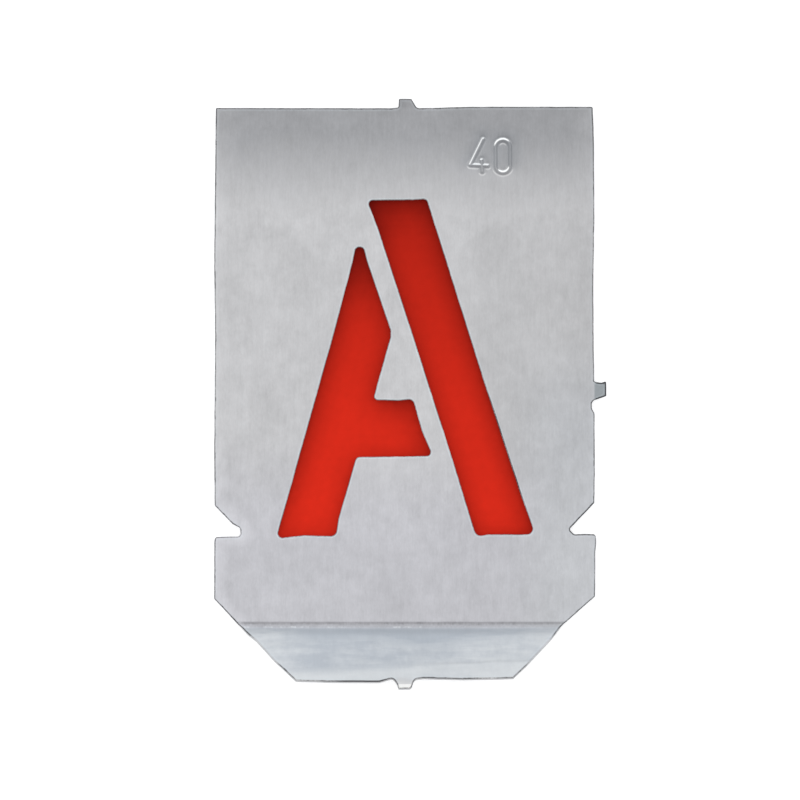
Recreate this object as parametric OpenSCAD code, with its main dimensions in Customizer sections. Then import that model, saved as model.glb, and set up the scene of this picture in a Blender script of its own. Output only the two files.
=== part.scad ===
// Lettering stencil: a stamped zinc plate with one cut-out capital and a grip lip bent up along
// its lower edge, lying on a loose red card that shows through the openings.
// X runs across the plate, Y up the letter and Z up from the surface it lies on. The origin is
// on that surface, on the plate's centreline, at the foot of the letter. Millimetres.

/* [Letter] */
// Height of the letter, from its foot to its top
letter_h = 40; // [36:0.5:44]
// Distance between the outer corners of the two feet
letter_w = 30.6; // [28:0.2:33]
// Width of both slanted strokes, measured along the foot
stroke_w = 6.75; // [5:0.05:7.5]
// Lean of the full-height right stroke from upright, in degrees
right_lean = 17.6; // [15:0.1:19]
// Lean of the shorter left leg from upright, in degrees
left_lean = 15.6; // [13:0.1:17]
// Bridge of metal left between the two openings, measured level
bridge_w = 2.6; // [1.5:0.1:3.5]
// Height of the crossbar's lower edge above the foot
bar_y = 9.5; // [7:0.1:11]
// Height of the crossbar
bar_h = 6.7; // [5:0.1:7.5]
// Radius in the corners of the openings
opening_r = 0.45; // [0.1:0.05:0.8]

/* [Plate] */
// Width of the plate
plate_w = 45.5; // [44:0.1:52]
// Thickness of the sheet
sheet_t = 0.4; // [0.25:0.05:0.8]
// Metal above the letter, up to the top edge
top_margin = 11.1; // [8:0.1:16]
// Metal between the foot of the letter and the bend
foot_margin = 10.9; // [9:0.1:14]
// Radius on the plate's outer corners
corner_r = 0.2; // [0.05:0.05:0.6]
// Height of the 45 degree cut across each lower corner, over plate and lip together
corner_cut = 9.8; // [8.5:0.1:12]

/* [Lip] */
// Length of the lip along its slope, from the bend to its edge
lip_len = 7.2; // [4:0.1:9]
// Angle that the lip is bent up by, in degrees
lip_angle = 25; // [10:1:50]
// Inside radius of the bend
bend_r = 0.8; // [0.4:0.1:2]

/* [Baseline notches] */
// Depth of each side notch, whose straight edge lies on the letter's foot line
notch_depth = 3.1; // [1.5:0.1:3.6]
// Height of the notch's blunt inner end, from which its upper side rises at 45 degrees
notch_end_h = 0.7; // [0.5:0.1:1.5]
// Radius in the corners of the notch's inner end
notch_end_r = 0.35; // [0.1:0.05:0.6]
// Radius where the notch opens on the plate's edge
notch_lip_r = 0.35; // [0.1:0.05:0.6]

/* [Break-off nibs] */
// How far the top and lip nibs stand out from their edges
nib_len = 1.05; // [0.5:0.05:2]
// How far the side nib stands out from its edge
side_nib_len = 1.35; // [0.5:0.05:2]
// Width of a nib at its broken end
nib_w = 1.6; // [0.8:0.1:2.5]
// How much the slanted flank of a nib runs out at its root
nib_flare = 0.65; // [0.2:0.05:1.2]
// Radius in the corner between a nib and its edge
nib_root_r = 0.3; // [0.05:0.05:0.5]
// Radius of the round relief beside the side and lip nibs
relief_r = 1; // [0.5:0.05:1.3]
// How deep the relief bites into the edge
relief_bite = 0.25; // [0.1:0.05:0.35]
// How far the middle of the side nib lies above the foot of the letter
side_nib_y = 17.5; // [8:0.1:30]

/* [Card] */
// How far the card reaches past the letter on every side
card_border = 3; // [1:0.1:4]
// Thickness of the card
card_t = 0.3; // [0.2:0.05:1]
// Radius on the card's corners
card_r = 1; // [0.2:0.1:3]

/* [Hidden] */

arc_step = 15;    // degrees turned by one facet of a rounded corner
bend_step = 4;    // degrees turned by one facet of the bend, which light runs over
through = 1;      // how far a cut or a blank runs past what it is cut with

plate_z = card_t; // the plate lies flat on the card
half_w = plate_w / 2;
top_y = letter_h + top_margin;
bend_y = -foot_margin;
lip_edge_y = bend_y - lip_len * cos(lip_angle);
edge_half_w = half_w - corner_cut;
letter_foot_x = [-letter_w / 2, letter_w / 2]; // outer corners of the left and right feet

function unit(v) = v / norm(v);
function ray(angle) = [cos(angle), sin(angle)];
function bearing(v) = atan2(v.y, v.x);
// The same angle between -180 and 180
function wrapped(angle) = angle - 360 * round(angle / 360);

// One corner [x, y, radius] of a closed outline, as points on an arc that meets both sides.
// The arc never takes more than half of the shorter side.
function corner(before, at, after, step) =
    let (
        p = [at.x, at.y],
        back = [before.x, before.y] - p,
        on = [after.x, after.y] - p,
        half = acos(unit(back) * unit(on)) / 2,
        reach = min(at.z / tan(half), norm(back) / 2, norm(on) / 2),
        r = reach * tan(half),
        centre = p + unit(unit(back) + unit(on)) * norm([r, reach]),
        first = bearing(p + unit(back) * reach - centre),
        turn = wrapped(bearing(p + unit(on) * reach - centre) - first),
        steps = max(2, ceil(abs(turn) / step))
    )
    r < 0.01 ? [p] : [for (i = [0:steps]) centre + r * ray(first + turn * i / steps)];

function rounded(corners, step = arc_step) =
    let (n = len(corners))
    [for (i = [0:n - 1]) each corner(corners[(i + n - 1) % n], corners[i], corners[(i + 1) % n], step)];

// Where the letter's four slanted lines are at height y
function right_outer_x(y) = letter_foot_x[1] - y * tan(right_lean);
function right_inner_x(y) = right_outer_x(y) - stroke_w;
function bridge_x(y) = right_inner_x(y) - bridge_w;
function left_outer_x(y) = letter_foot_x[0] + y * tan(left_lean);
function left_inner_x(y) = left_outer_x(y) + stroke_w;

// Heights at which the left leg's two sides meet the bridge
leans = tan(left_lean) + tan(right_lean);
apex_y = (bridge_x(0) - left_outer_x(0)) / leans;
crotch_y = (bridge_x(0) - left_inner_x(0)) / leans;

// Full-height stroke, from top left down to the right foot
module right_stroke() {
    polygon(rounded([
        [right_inner_x(0), 0, opening_r],
        [right_outer_x(0), 0, opening_r],
        [right_outer_x(letter_h), letter_h, opening_r],
        [right_inner_x(letter_h), letter_h, opening_r]
    ]));
}

// Left leg and crossbar, one opening that ends at the bridge
module left_leg_and_bar() {
    bar_top = bar_y + bar_h;
    polygon(rounded([
        [left_outer_x(0), 0, opening_r],
        [left_inner_x(0), 0, opening_r],
        [left_inner_x(bar_y), bar_y, opening_r],
        [bridge_x(bar_y), bar_y, opening_r],
        [bridge_x(bar_top), bar_top, opening_r],
        [left_inner_x(bar_top), bar_top, opening_r],
        [left_inner_x(crotch_y), crotch_y, 2 * opening_r],
        [left_outer_x(apex_y), apex_y, opening_r]
    ]));
}

module letter() {
    right_stroke();
    left_leg_and_bar();
}

// The corners of a break-off nib, clockwise, for an edge that runs along X with the plate
// below it. flare_on and flare_back say how far the flanks run out at the root.
function nib(length, flare_back, flare_on) = [
    [-nib_w / 2 - flare_back, 0, nib_root_r],
    [-nib_w / 2, length, corner_r],
    [nib_w / 2, length, corner_r],
    [nib_w / 2 + flare_on, 0, nib_root_r]
];

// Corners turned by quarter turns clockwise and moved to the middle of their own edge
function placed(corners, at, quarters) =
    let (along = [[1, 0], [0, -1], [-1, 0]][quarters], up = [[0, 1], [1, 0], [0, -1]][quarters])
    [for (c = corners) let (p = at + c.x * along + c.y * up) [p.x, p.y, c.z]];

// The plate seen from above, with the lip bent up. Its corners run clockwise from top left.
module plate_outline() {
    cut_top_y = lip_edge_y + corner_cut;
    mouth_y = notch_end_h + notch_depth;
    right_edge = [
        [half_w, mouth_y, notch_lip_r],
        [half_w - notch_depth, notch_end_h, notch_end_r],
        [half_w - notch_depth, 0, notch_end_r],
        [half_w, 0, notch_lip_r],
        [half_w, cut_top_y, corner_r],
        [edge_half_w, lip_edge_y, corner_r]
    ];
    last = len(right_edge) - 1;
    left_edge = [for (i = [last:-1:0]) [-right_edge[i].x, right_edge[i].y, right_edge[i].z]];
    difference() {
        polygon(rounded([
            [-half_w, top_y, corner_r],
            each placed(nib(nib_len, 0, nib_flare), [0, top_y], 0),
            [half_w, top_y, corner_r],
            each placed(nib(side_nib_len, 0, nib_flare), [half_w, side_nib_y], 1),
            each right_edge,
            each placed(nib(nib_len, nib_flare / 2, nib_flare / 2), [0, lip_edge_y], 2),
            each left_edge
        ]));
        relief_y = relief_r - relief_bite;
        beside = nib_w / 2 + relief_r;
        translate([half_w + relief_y, side_nib_y - nib_flare - beside]) circle(r = relief_r, $fn = 48);
        translate([-nib_flare / 2 - beside, lip_edge_y - relief_y]) circle(r = relief_r, $fn = 48);
    }
}

// The sheet seen from its side, Y to the right: flat, then bent up into the lip
module side_profile() {
    tan_half = tan(lip_angle / 2);
    run = lip_len + (nib_len + through) / cos(lip_angle);
    lip_end = [bend_y, 0] + run * [-cos(lip_angle), sin(lip_angle)];
    up = sheet_t * [sin(lip_angle), cos(lip_angle)];
    polygon(rounded([
        [top_y + nib_len + through, 0, 0],
        [top_y + nib_len + through, sheet_t, 0],
        [bend_y + sheet_t * tan_half, sheet_t, bend_r],
        [lip_end.x + up.x, lip_end.y + up.y, 0],
        [lip_end.x, lip_end.y, 0],
        [bend_y, 0, bend_r + sheet_t]
    ], bend_step));
}

module stencil_plate() {
    blank_w = plate_w + 2 * (side_nib_len + through);
    cut_h = lip_len + 2 * through;
    color([0.74, 0.75, 0.77])
    translate([0, 0, plate_z])
    difference() {
        intersection() {
            rotate([90, 0, 90]) translate([0, 0, -blank_w / 2]) linear_extrude(blank_w) side_profile();
            translate([0, 0, -through]) linear_extrude(cut_h) plate_outline();
        }
        translate([0, 0, -through]) linear_extrude(cut_h) letter();
    }
}

module backing_card() {
    left = left_outer_x(0) - card_border;
    right = right_outer_x(0) + card_border;
    color([0.80, 0.16, 0.10])
    linear_extrude(card_t)
    polygon(rounded([
        [left, -card_border, card_r],
        [right, -card_border, card_r],
        [right, letter_h + card_border, card_r],
        [left, letter_h + card_border, card_r]
    ]));
}

stencil_plate();
backing_card();
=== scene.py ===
# A punched and stamped zinc lettering stencil on its red card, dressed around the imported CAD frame.
# Row frame: X across the plate, Y up the letter, Z up from the table. Metres, with mm for sizes.
import math

import bpy
import numpy as np
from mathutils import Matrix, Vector, geometry, kdtree, noise


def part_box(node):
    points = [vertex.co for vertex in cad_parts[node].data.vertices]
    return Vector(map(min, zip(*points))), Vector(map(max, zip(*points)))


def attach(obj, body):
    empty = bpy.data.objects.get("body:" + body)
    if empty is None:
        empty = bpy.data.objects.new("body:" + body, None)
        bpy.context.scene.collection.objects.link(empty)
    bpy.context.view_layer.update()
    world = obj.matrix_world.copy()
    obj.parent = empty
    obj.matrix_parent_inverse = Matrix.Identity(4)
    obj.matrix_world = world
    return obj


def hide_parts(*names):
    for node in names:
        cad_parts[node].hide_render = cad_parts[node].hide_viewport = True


mm = 0.001

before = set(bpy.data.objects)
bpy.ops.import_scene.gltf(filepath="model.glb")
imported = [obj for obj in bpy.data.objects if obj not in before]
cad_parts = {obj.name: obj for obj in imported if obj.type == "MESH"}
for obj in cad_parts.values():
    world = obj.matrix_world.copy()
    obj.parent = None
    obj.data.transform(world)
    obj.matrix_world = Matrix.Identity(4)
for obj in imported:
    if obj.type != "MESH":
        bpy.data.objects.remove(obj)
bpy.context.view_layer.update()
plateLow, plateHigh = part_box("stencil_plate")
cardLow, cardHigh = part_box("backing_card")
print("frame loaded")


# Node sockets that can be used in Python sums

def operator(operation):
    return lambda wire, other: wire.board.maths(operation, wire, other)


def reversedOperator(operation):
    return lambda wire, other: wire.board.maths(operation, other, wire)


class Wire:
    def __init__(self, board, socket):
        self.board = board
        self.socket = socket

    __add__ = __radd__ = operator("ADD")
    __mul__ = __rmul__ = operator("MULTIPLY")
    __sub__ = operator("SUBTRACT")
    __rsub__ = reversedOperator("SUBTRACT")
    __truediv__ = operator("DIVIDE")
    __rtruediv__ = reversedOperator("DIVIDE")
    __pow__ = operator("POWER")
    most = operator("MINIMUM")
    least = operator("MAXIMUM")

    def maths(self, operation):
        return self.board.maths(operation, self)

    def share(self, start, end, strength=1, curve="LINEAR"):  # from 0 at start to the strength at end
        settings = {"clamp": True, "interpolation_type": curve}
        made = self.board.node("ShaderNodeMapRange", {0: self, 1: start, 2: end, 3: 0, 4: 1}, settings)
        return made if strength == 1 else made * strength

    def ease(self, start, end, strength=1):  # the same, with smooth ends
        return self.share(start, end, strength, "SMOOTHSTEP")

    def fade(self, start, end, strength=1):  # from the strength at start to 0 at end
        left = 1 - self.ease(start, end)
        return left if strength == 1 else left * strength

    def parts(self):
        made = self.board.nodes.new("ShaderNodeSeparateXYZ")
        self.board.feed(made.inputs[0], self)
        return [Wire(self.board, socket) for socket in made.outputs]


class Board:
    def __init__(self, nodeTree):
        self.links = nodeTree.links
        self.nodes = nodeTree.nodes
        self.nodes.clear()

    def feed(self, socket, value):
        if isinstance(value, Wire):
            self.links.new(value.socket, socket)
        else:
            socket.default_value = value

    def node(self, kind, values=None, settings=None, out=0):
        made = self.nodes.new(kind)
        for name, setting in (settings or {}).items():
            setattr(made, name, setting)
        for key, value in (values or {}).items():
            self.feed(made.inputs[key], value)
        return Wire(self, made.outputs[out]) if made.outputs else made

    def maths(self, operation, *values):
        return self.node("ShaderNodeMath", dict(enumerate(values)), {"operation": operation})

    def vector(self, x, y, z):
        return self.node("ShaderNodeCombineXYZ", {0: x, 1: y, 2: z})

    def blend(self, factor, first, second):
        first, second = [c if isinstance(c, Wire) else (*c, 1) for c in (first, second)]
        return self.node("ShaderNodeMix", {0: factor, 6: first, 7: second}, {"data_type": "RGBA"}, out=2)

    def cloud(self, at, scale, detail=2, roughness=0.5):  # smooth noise between 0 and 1
        values = {"Vector": at, "Scale": scale, "Detail": detail, "Roughness": roughness}
        return self.node("ShaderNodeTexNoise", values)


def material(name, surface, kind=Board):  # surface makes the shader on a board of this kind
    made = bpy.data.materials.new(name)
    made.use_nodes = True
    board = kind(made.node_tree)
    board.node("ShaderNodeOutputMaterial", {"Surface": surface(board)})
    return made


def placed(name, data):  # a new object in the scene
    made = bpy.data.objects.new(name, data)
    bpy.context.scene.collection.objects.link(made)
    return made


# The outlines, in millimetres, clockwise round the plate and anticlockwise round each opening.
# Each corner is x, y and a radius. Small offsets follow the real edges' unevenness.

letter = {
    "height": 40,
    "width": 30.6,  # outer corners of the two feet
    "strokeWidth": 6.75,
    "rightLean": 17.6,  # degrees from upright
    "leftLean": 15.6,
    "bridge": 2.6,  # metal between the openings
    "barFoot": 9.5,
    "barHeight": 6.7,
    "cornerRadius": 0.45,
}

plate = {
    "sheet": 0.4,
    "topMargin": 11.1,
    "footMargin": 10.9,
    "cornerCut": 9.8,
    "lipLength": 7.2,
    "lipAngle": 25,
    "bendRadius": 0.8,  # inside the bend
    "notchDepth": 3.1,
    "notchEnd": 0.7,
    "nibWidth": 1.6,
    "nibFlare": 0.65,
    "reliefBite": 0.25,
    "sideNibHeight": 17.5,
    "topInset": 0.2,  # the plate narrows towards its top
    "topLean": 0.1,  # and its right end stands higher
    "lipLean": 0.3,  # the lip's edge runs higher on the right
    "wobble": 0.022,  # unevenness of the punched edges
    "wobbleLength": 1.6,
    "edgeStep": 0.25,  # spacing of points along the edges
    "creaseLine": -10.55,
}

halfWidth = -plateLow.x / mm
topLine = letter["height"] + plate["topMargin"]
lipRun = plate["lipLength"] * math.cos(math.radians(plate["lipAngle"]))
lipLine = -plate["footMargin"] - lipRun


def leanAt(startX, leanDegrees, y):
    return startX + y * math.tan(math.radians(leanDegrees))


def rightOuter(y):
    return leanAt(letter["width"] / 2, -letter["rightLean"], y)


def rightInner(y):
    return rightOuter(y) - letter["strokeWidth"]


def bridgeSide(y):
    return rightInner(y) - letter["bridge"]


def leftOuter(y):
    return leanAt(-letter["width"] / 2, letter["leftLean"], y)


def leftInner(y):
    return leftOuter(y) + letter["strokeWidth"]


def rightStroke():
    top = letter["height"]
    r = letter["cornerRadius"]
    return [
        (rightInner(0) - 0.02, -0.12, 2 * r),
        (10, 0.12, 3),
        (rightOuter(0) + 0.28, 0.14, 1.5 * r),
        (rightOuter(2.5) + 0.2, 2.5, 2),
        (rightOuter(5) + 0.1, 5, 2),
        (rightOuter(18) - 0.03, 18, 5),
        (rightOuter(top) - 0.03, top + 0.2, 1.2 * r),
        (1, top + 0.06, 3),
        (rightInner(top) - 0.35, top, r),
        (rightInner(36.5) - 0.1, 36.5, 3),
        (rightInner(23.5) + 0.01, 23.5, 3),
        (rightInner(8) + 0.04, 8, 3),
    ]


def leftLegAndBar():
    leans = math.tan(math.radians(letter["leftLean"])) + math.tan(math.radians(letter["rightLean"]))
    crotch = (bridgeSide(0) - leftInner(0)) / leans
    apex = (bridgeSide(0) - leftOuter(0)) / leans
    barFoot = letter["barFoot"]
    barTop = barFoot + letter["barHeight"]
    r = letter["cornerRadius"]
    return [
        (leftOuter(0) - 0.03, -0.36, 1.2 * r),
        (-12, 0.02, 3),
        (leftInner(0) + 0.34, -0.1, 1.7 * r),
        (leftInner(2) + 0.07, 2, 2),
        (leftInner(barFoot) + 0.12, barFoot - 0.12, 1.2 * r),
        (0.5, barFoot - 0.05, 3),
        (bridgeSide(barFoot) + 0.36, barFoot + 0.02, r),
        (bridgeSide(12.5) + 0.05, 12.5, 3),
        (bridgeSide(barTop) + 0.16, barTop + 0.08, 1.5 * r),
        (-0.8, barTop - 0.1, 2),
        (leftInner(barTop) + 0.22, barTop - 0.02, r),
        (leftInner(crotch - 0.6) + 0.22, crotch - 0.6, 0.4),
        (bridgeSide(crotch + 0.2) + 0.12, crotch + 0.2, 0.4),
        # the blunt point
        (bridgeSide(apex - 2.8) - 0.09, apex - 2.8, 2),
        (bridgeSide(apex - 1.22) + 0.05, apex - 1.22, 1.15 * r),
        (leftOuter(apex - 1.22) - 0.17, apex - 1.22, 1.15 * r),
        (leftOuter(apex - 2.8) - 0.05, apex - 2.8, 2),
        (leftOuter(25) + 0.1, 25, 5),
    ]


def plateEdge():
    half = halfWidth
    narrow = half - plate["topInset"]
    nib = plate["nibWidth"] / 2
    flare = plate["nibFlare"]
    top = topLine
    lean = plate["topLean"]
    topNib = plateHigh.y / mm
    sideNib = plateHigh.x / mm
    lipNib = plateLow.y / mm
    side = plate["sideNibHeight"]
    depth = plate["notchDepth"]
    notchTop = plate["notchEnd"] + depth
    cut = lipLine + plate["cornerCut"]
    bend = -plate["footMargin"]
    footHalf = half - plate["cornerCut"]
    bite = plate["reliefBite"]
    nibTop = side + nib
    reliefTop = side - nib - flare
    lipRise = plate["lipLean"]
    return [
        # top edge, with its nib
        (-narrow, top - 0.06, 0.15),
        (-nib - 1, top - 0.1, 3),
        (-nib + 0.05, top - 0.02, 0.25),
        (-nib + 0.1, topNib - 0.03, 0.15),
        (nib, topNib - 0.03, 0.12),
        (nib + flare, top - 0.1, 0.5),
        (8, top + lean - 0.02, 5),
        (narrow - 0.12, top + lean - 0.02, 0.2),
        # right edge, with its nib and the relief below it
        (half - 0.17, top - 4, 10),
        (half - 0.12, 38, 10),
        (half - 0.25, 30, 10),
        (half - 0.2, nibTop + 4, 5),
        (half - 0.13, nibTop + 0.14, 0.12),
        (half + 0.1, nibTop + 0.03, 0.2),
        (half + 0.7, nibTop - 0.08, 0.4),
        (sideNib - 0.06, nibTop + 0.13, 0.12),
        (sideNib - 0.04, side - nib - 0.05, 0.15),
        (half - bite - 0.18, reliefTop, 0.7),
        (half - bite - 0.17, reliefTop - 0.93, 0.6),
        (half - 0.1, reliefTop - 1.43, 0.4),
        # right notch, with an uneven floor and a burr at its mouth
        (half - 0.06, 8, 3),
        (half - 0.12, notchTop + 0.1, 0.1),
        (half - depth - 0.03, plate["notchEnd"] + 0.03, 0.3),
        (half - depth + 0.6, 0.12, 0.4),
        (half - 1.2, 0.2, 1.5),
        (half + 0.07, 0.14, 0.35),
        (half + 0.1, -0.8, 2),
        (half, -2, 5),
        (half - 0.03, cut + 0.35, 0.15),
        (half - 3.86, bend + 0.27, 0.7),
        (half - 5.1, bend - 1.4, 1.5),
        (half - 8.26, bend - 4.74, 2),
        (footHalf - 0.02, lipLine + lipRise, 0.15),
        # lip's edge, with its nib and the relief beside it
        (7, lipLine + lipRise - 0.12, 6),
        (nib + flare / 2 + 1, lipLine + lipRise, 1),
        (nib + flare / 2, lipLine + 0.2, 0.7),
        (nib, lipNib + 0.28, 0.25),
        (nib - 0.25, lipNib + 0.12, 0.15),
        (-nib + 0.05, lipNib + 0.1, 0.15),
        (-nib - 0.1, lipLine - 0.4, 0.3),
        (-nib - 0.6, lipLine + bite + 0.07, 0.6),
        (-nib - 1.4, lipLine + 0.1, 1.2),
        (-nib - 2.2, lipLine - 0.15, 1.2),
        (-9, lipLine - 0.12, 6),
        (-footHalf, lipLine, 0.2),
        (-footHalf - 2.6, lipLine + 2.39, 4),
        (-footHalf - 4.79, bend - 1.76, 2),
        (-footHalf - 5.83, bend - 0.96, 4),
        (-half, cut + 0.07, 0.15),
        # left notch, with a rounder end
        (-half + 0.02, -0.8, 2),
        (-half + 0.1, -0.18, 0.6),
        (-half + 2, -0.13, 3),
        (-half + depth + 0.06, -0.12, 0.4),
        (-half + depth - 0.03, 0.92, 0.4),
        (-half + depth - 0.92, 1.38, 0.6),
        (-half + 0.06, notchTop - 0.22, 0.2),
        (-half, 10, 5),
        (-half + 0.12, 24, 10),
        (-half, 32, 10),
    ]


arcs = {
    "straight": 89.5,  # degrees; a corner with a larger half angle needs no arc
    "sideShare": 0.45,  # how much of a side an arc may take
    "facet": 12,  # degrees
    "shortest": 0.01,  # shorter sides are left out
}


def arcAt(before, corner, after):
    at, back, on = (Vector(point[:2]) for point in (corner, before, after))
    back, on = back - at, on - at
    half = back.angle(on) / 2
    if half > math.radians(arcs["straight"]):
        return [at]
    reach = min(corner[2] / math.tan(half), min(back.length, on.length) * arcs["sideShare"])
    radius = reach * math.tan(half)
    backward, onward = back.normalized(), on.normalized()
    centre = at + (backward + onward).normalized() * math.hypot(radius, reach)
    first, last = at + backward * reach - centre, at + onward * reach - centre
    angle = math.atan2(first.y, first.x)
    sweep = (math.atan2(last.y, last.x) - angle + math.pi) % (2 * math.pi) - math.pi
    steps = max(2, math.ceil((math.pi - 2 * half) / math.radians(arcs["facet"])))
    angles = [angle + sweep * i / steps for i in range(steps + 1)]
    return [centre + radius * Vector((math.cos(a), math.sin(a))) for a in angles]


def tracedLoop(corners, step):
    count = len(corners)
    rounded = []
    for i in range(count):
        rounded += arcAt(corners[i - 1], corners[i], corners[(i + 1) % count])
    points = []
    for i, point in enumerate(rounded):
        gap = rounded[(i + 1) % len(rounded)] - point
        pieces = max(1, round(gap.length / step))
        if gap.length > arcs["shortest"]:
            points += [point + gap * k / pieces for k in range(pieces)]
    return points


def uneven(points, seed):
    size, length = plate["wobble"], plate["wobbleLength"]
    fineness, fineShare = 3, 0.6
    otherNoise = Vector((0, 0, 40))
    low, high = plateLow / mm, plateHigh / mm
    moved = []
    for point in points:
        at = Vector((point.x / length, point.y / length, seed))
        fineAt = at * fineness
        push = Vector((noise.noise(at), noise.noise(at + otherNoise))) * size
        fine = Vector((noise.noise(fineAt), noise.noise(fineAt + otherNoise))) * size * fineShare
        new = point + push + fine
        moved.append(Vector((min(max(new.x, low.x), high.x), min(max(new.y, low.y), high.y))))
    return moved


outlines = [plateEdge(), rightStroke(), leftLegAndBar()]
loops = [
    uneven(tracedLoop(outline, plate["edgeStep"]), seed) for seed, outline in enumerate(outlines, 1)
]
print("outlines traced:", [len(loop) for loop in loops], "points")


# Size numerals, as the centre lines of their ridges

numerals = {
    "place": (7.75, 43.05),  # lower left corner, on the plate
    "strokeHeight": 4.25,
    "ovalEnds": (0.27, 4.18),
    "ovalHalfWidth": 0.87,
    "ovalCentre": 3.96,
    "ovalPoints": 48,
}


def numeralStrokes():
    left, foot = numerals["place"]
    tall = numerals["strokeHeight"]
    four = [[(1.6, tall), (0.1, 1.2)], [(0.1, 1.2), (2.15, 1.1)], [(1.42, 1.75), (1.5, 0.4)]]
    half, middle = numerals["ovalHalfWidth"], numerals["ovalCentre"]
    low, high = numerals["ovalEnds"]
    straight = (high - low) / 2 - half
    count = numerals["ovalPoints"]
    oval = []
    for i in range(count):
        angle = 2 * math.pi * i / count
        lift = straight if math.sin(angle) > 0 else -straight
        oval.append((middle + half * math.cos(angle), (low + high) / 2 + lift + half * math.sin(angle)))
    oval.append(oval[0])
    return [[Vector((left + x, foot + y)) for x, y in stroke] for stroke in [*four, oval]]


def strokeObject(name, strokes):
    curve = bpy.data.curves.new(name, "CURVE")
    curve.dimensions = "3D"
    for stroke in strokes:
        spline = curve.splines.new("POLY")
        spline.points.add(len(stroke) - 1)
        for point, at in zip(spline.points, stroke):
            point.co = (at.x * mm, at.y * mm, 0, 1)
    return placed(name, curve)


# The flat blank: a fine triangle mesh between the outlines

mesh = {
    "rings": (0.06, 0.12, 0.2, 0.34),  # rows of points beside every edge, mm from it
    "apart": 0.04,  # one such point for each cell of this size
    "ringClear": 0.9,  # and none nearer to an edge than this share of its row
    "clear": 0.42,  # other points keep this far from an edge
    "rowShare": 0.87,  # even rows lie this share of their spacing apart
    "edgeSampling": 0.04,
    "coarse": 0.6,
    "medium": 0.25,
    "fine": 0.08,
    "ridgeReach": 0.62,  # fine points this far round a numeral's lines
    "mediumReach": 1.3,
    "creaseBand": (-11.7, -10.1),
    "creaseClear": 0.3,  # coarse points keep this far from the band
    "creaseStep": (0.16, 0.07),
}


def nearness(points):
    tree = kdtree.KDTree(len(points))
    for i, point in enumerate(points):
        tree.insert((point[0], point[1], 0), i)
    tree.balance()
    return tree


def denser(loop, step, closed=True):
    out = []
    last = len(loop) if closed else len(loop) - 1
    for i in range(last):
        a, b = loop[i], loop[(i + 1) % len(loop)]
        pieces = max(1, math.ceil((b - a).length / step))
        out += [a + (b - a) * k / pieces for k in range(pieces)]
    return out if closed else [*out, loop[-1]]


def gridPoints(lowX, highX, lowY, highY, stepX, stepY):
    rows = np.arange(lowY, highY, stepY)
    columns = np.arange(lowX, highX, stepX)
    return [(x + (stepX / 2 if r % 2 else 0), y) for r, y in enumerate(rows) for x in columns]


def evenPoints(lowX, highX, lowY, highY, step):
    return gridPoints(lowX, highX, lowY, highY, step, step * mesh["rowShare"])


sampling = mesh["edgeSampling"]
outerTree = nearness(denser(loops[0], sampling))
openingTree = nearness([p for loop in loops[1:] for p in denser(loop, sampling)])
strokeTree = nearness([p for stroke in numeralStrokes() for p in denser(stroke, sampling, closed=False)])


def outerGap(x, y):
    return outerTree.find((x, y, 0))[2]


def openingGap(x, y):
    return openingTree.find((x, y, 0))[2]


def edgeGap(x, y):
    return min(outerGap(x, y), openingGap(x, y))


def strokeGap(x, y):
    return strokeTree.find((x, y, 0))[2]


def edgeRows():
    rows = []
    taken = set()
    lastRing = len(mesh["rings"]) - 1
    for loop in loops:
        count = len(loop)
        for ring, gap in enumerate(mesh["rings"]):
            for i in range(0, count, 2 if ring == lastRing else 1):
                along = (loop[(i + 1) % count] - loop[i - 1]).normalized()
                across = Vector((-along.y, along.x))
                for side in (1, -1):
                    x, y = loop[i] + across * side * gap
                    cell = (round(x / mesh["apart"]), round(y / mesh["apart"]))
                    if edgeGap(x, y) > gap * mesh["ringClear"] and cell not in taken:
                        taken.add(cell)
                        rows.append((x, y))
    return rows


def blankPoints():
    low, high = plateLow / mm, plateHigh / mm
    creaseLow, creaseHigh = mesh["creaseBand"]
    left, foot = numerals["place"]
    fine, ridge, beyond = mesh["fine"], mesh["ridgeReach"], mesh["mediumReach"]
    right = left + numerals["ovalCentre"] + numerals["ovalHalfWidth"]
    numeralBox = (left - beyond, right + beyond, foot - beyond, foot + numerals["strokeHeight"] + beyond)

    def isPlain(x, y):  # away from numerals and crease
        margin = mesh["creaseClear"]
        return strokeGap(x, y) >= beyond and not creaseLow - margin < y < creaseHigh + margin

    plain = [p for p in evenPoints(low.x, high.x, low.y, high.y, mesh["coarse"]) if isPlain(*p)]
    around = [p for p in evenPoints(*numeralBox, mesh["medium"]) if ridge + fine < strokeGap(*p) < beyond]
    ridges = [p for p in evenPoints(*numeralBox, fine) if strokeGap(*p) < ridge]
    crease = gridPoints(low.x, high.x, creaseLow, creaseHigh, *mesh["creaseStep"])
    plain, crease = [[p for p in group if edgeGap(*p) > mesh["clear"]] for group in (plain, crease)]
    return edgeRows() + plain + around + ridges + crease


def filled(points, edges, faces):  # the points and triangles inside the first face and no other
    insideOnly, tolerance = 1, 1e-6
    coords, _, triangles, _, _, homes = geometry.delaunay_2d_cdt(points, edges, faces, insideOnly, tolerance)
    kept = [tri for tri, home in zip(triangles, homes) if home == [0]]
    used = sorted({i for tri in kept for i in tri})
    renumber = {old: new for new, old in enumerate(used)}
    return [coords[i] for i in used], [[renumber[i] for i in tri] for tri in kept]


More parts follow.
